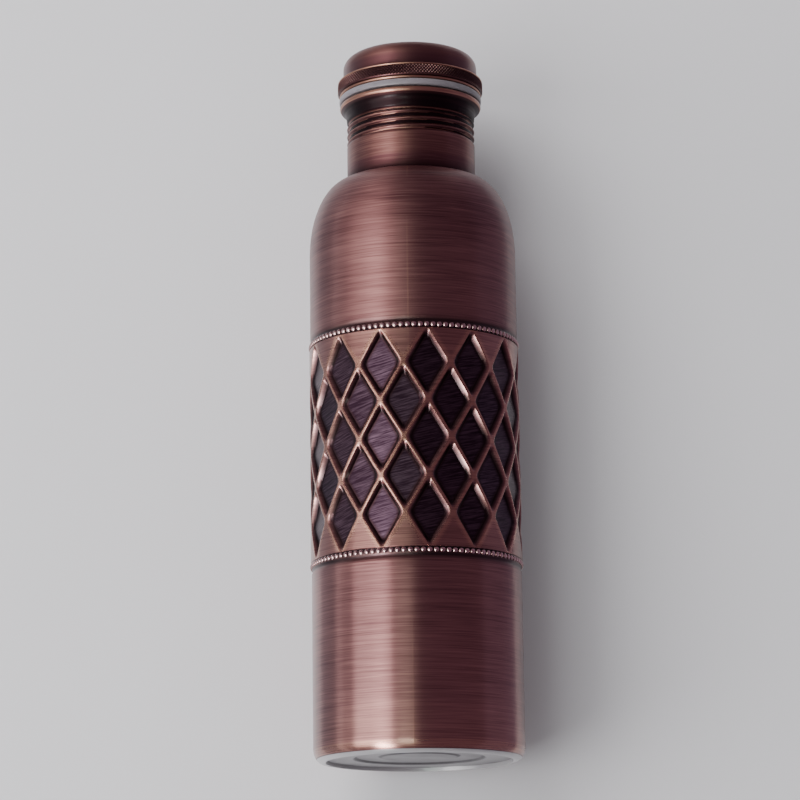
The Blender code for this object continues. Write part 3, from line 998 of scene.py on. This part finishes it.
# %% [markdown]
# ## Table and floor
# The bottle is shown against a pale table top that stands behind it, which also fills the
# reflections at the edges of the copper. A second plane lies under the foot, for views from
# above. Each plane is clear from its back, so neither hides the bottle from any side.
# Close to each side of the bottle stands a narrow card, as in a film studio: a dark one on the
# right and a grey one on the left. Only mirror-like surfaces see them. They keep the edges of the
# straight wall from turning as pale as the table top.

# %% Stage planes
STAGE_SPAN = 6.0
STAGE_TONE = (0.83, 0.82, 0.85)
TABLE_GAP = 0.6 * MM
FLOOR_GAP = 0.4 * MM
FLAG_TALL = 0.70
FLAG_HEIGHT = -0.010
FLAG_REACH = 0.090
FLAG_BACK = 0.035
DARK_FLAG = (0.080, rgb(0.290, 0.220, 0.310))
GREY_FLAG = (0.047, rgb(0.550, 0.540, 0.620))


def one_sided(name, colour):
    """A matt, pale surface that can only be seen from its front."""
    recipe = Recipe(bpy.data.materials.new(name))
    place = recipe.add("ShaderNodeTexCoord", output="Object")
    speck = recipe.noise(place, (7.0, 7.0, 7.0), detail=4.0)
    tint = recipe.blend(speck, rgb(*(0.94 * part for part in colour)), rgb(*colour))
    recipe.join(recipe.shader, {"Base Color": tint, "Roughness": 0.55})
    clear = recipe.add("ShaderNodeBsdfTransparent")
    back = recipe.add("ShaderNodeNewGeometry", output="Backfacing")
    mixed = recipe.add("ShaderNodeMixShader", {}, {
        0: back, 1: Wire(recipe, recipe.shader.outputs[0]), 2: clear,
    })
    recipe.join(recipe.tree.nodes["Material Output"], {"Surface": mixed})
    return recipe.owner


def even_card(name, glow):
    """A card that sends out a dim, even colour and mirrors nothing."""
    recipe = Recipe(bpy.data.materials.new(name))
    recipe.join(recipe.shader, {
        "Base Color": rgb(0.0, 0.0, 0.0),
        "Emission Color": glow,
        "Emission Strength": 1.0,
        "Specular IOR Level": 0.0,
    })
    return recipe.owner


def stage_plane(name, wide, tall, axis, place, material):
    """A flat rectangle of the stage, tipped up about an axis and moved into place."""
    form = bmesh.new()
    made = bmesh.ops.create_grid(form, x_segments=1, y_segments=1, size=0.5)["verts"]
    bmesh.ops.scale(form, verts=made, vec=(wide, tall, 1.0))
    if axis:
        tip = Quaternion(axis, pi / 2).to_matrix()
        bmesh.ops.rotate(form, verts=made, cent=(0, 0, 0), matrix=tip)
    bmesh.ops.translate(form, verts=made, vec=place)
    mesh = bpy.data.meshes.new(name)
    form.to_mesh(mesh)
    form.free()
    mesh.materials.append(material)
    plane = bpy.data.objects.new(name, mesh)
    bpy.context.scene.collection.objects.link(plane)
    return plane


table_top = stage_plane("table_top", STAGE_SPAN, STAGE_SPAN, (1, 0, 0),
                        (0, cad_box[1].y + TABLE_GAP, 0.1), one_sided("table_top", STAGE_TONE))
floor = stage_plane("floor", STAGE_SPAN, STAGE_SPAN, None, (0, 0, -FLOOR_GAP),
                    one_sided("floor", STAGE_TONE))
floor.visible_glossy = False
floor.visible_diffuse = False
floor.visible_shadow = False


def side_flag(name, side, wide, glow):
    """A narrow upright card at one side, from the table top forwards."""
    place = (side * FLAG_REACH, FLAG_BACK - wide / 2, FLAG_HEIGHT)
    flag = stage_plane(name, FLAG_TALL, wide, (0, 1, 0), place, even_card(name, glow))
    flag.visible_camera = False
    flag.visible_diffuse = False
    flag.visible_shadow = False
    return flag


flags = [side_flag("dark_flag", 1, *DARK_FLAG), side_flag("grey_flag", -1, *GREY_FLAG)]
print("stage", [plane.name for plane in (table_top, floor, *flags)])

# %% [markdown]
# ## Light
# One big soft window stands to the left and in front. It draws the broad bright streak down the
# left of the body, and throws a short soft shadow to the right. Copper shows what it mirrors, so
# three more lights are only there to be mirrored: a slim greenish strip beside the window gives
# the second, narrow streak, a side panel fills the wall left of the window, and a low lamp
# catches the rolled foot. A wide ceiling light softens the shadow, and the copper doesn't see it.
# The room is different for each kind of ray too. Mirrored rays find it dim and purple, which is
# what keeps the right of the copper dark, and matt surfaces get more light from it.

# %% Lights
MIDDLE = (0.0, 0.0, 0.12)
FOOT = (0.0, 0.0, 0.05)
ROOM_SEEN = rgb(0.70, 0.69, 0.71)
ROOM_MIRRORED = rgb(0.220, 0.143, 0.200)
ROOM_AROUND = rgb(0.30, 0.29, 0.30)


def area_light(name, place, target, size, power, colour=(1.0, 1.0, 1.0), matt=True, mirrored=True):
    """A rectangular light that points at a target. Either kind of surface can be left out."""
    data = bpy.data.lights.new(name, "AREA")
    data.shape = "RECTANGLE"
    data.size, data.size_y = size
    data.energy = power
    data.color = colour
    light = bpy.data.objects.new(name, data)
    light.location = place
    light.rotation_mode = "QUATERNION"
    light.rotation_quaternion = (Vector(target) - Vector(place)).to_track_quat("-Z", "Y")
    light.visible_camera = False
    light.visible_diffuse = matt
    light.visible_glossy = mirrored
    bpy.context.scene.collection.objects.link(light)
    return light


lights = [
    area_light("window", (-1.041, -0.843, -0.19), MIDDLE, (1.14, 0.90), 16.0),
    area_light("strip", (-0.32, -1.24, -0.30), MIDDLE, (0.40, 0.50), 3.3, (0.80, 1.0, 0.88), matt=False),
    area_light("side_panel", (-1.57, -0.03, 0.05), MIDDLE, (0.66, 1.2), 1.9, matt=False),
    area_light("low_glint", (-0.87, -0.92, -0.90), FOOT, (0.34, 0.70), 29.0, matt=False),
    area_light("ceiling", (-0.9, -1.3, 1.3), MIDDLE, (1.5, 1.5), 37.0, mirrored=False),
]

world = bpy.data.worlds.new("room")
bpy.context.scene.world = world
room = Recipe(world, "Background")
glossy_ray = room.add("ShaderNodeLightPath", output="Is Glossy Ray")
camera_ray = room.add("ShaderNodeLightPath", output="Is Camera Ray")
unseen = room.blend(glossy_ray, ROOM_AROUND, ROOM_MIRRORED)
room.join(room.shader, {"Color": room.blend(camera_ray, unseen, ROOM_SEEN), "Strength": 1.0})
print("lights", [light.name for light in lights])
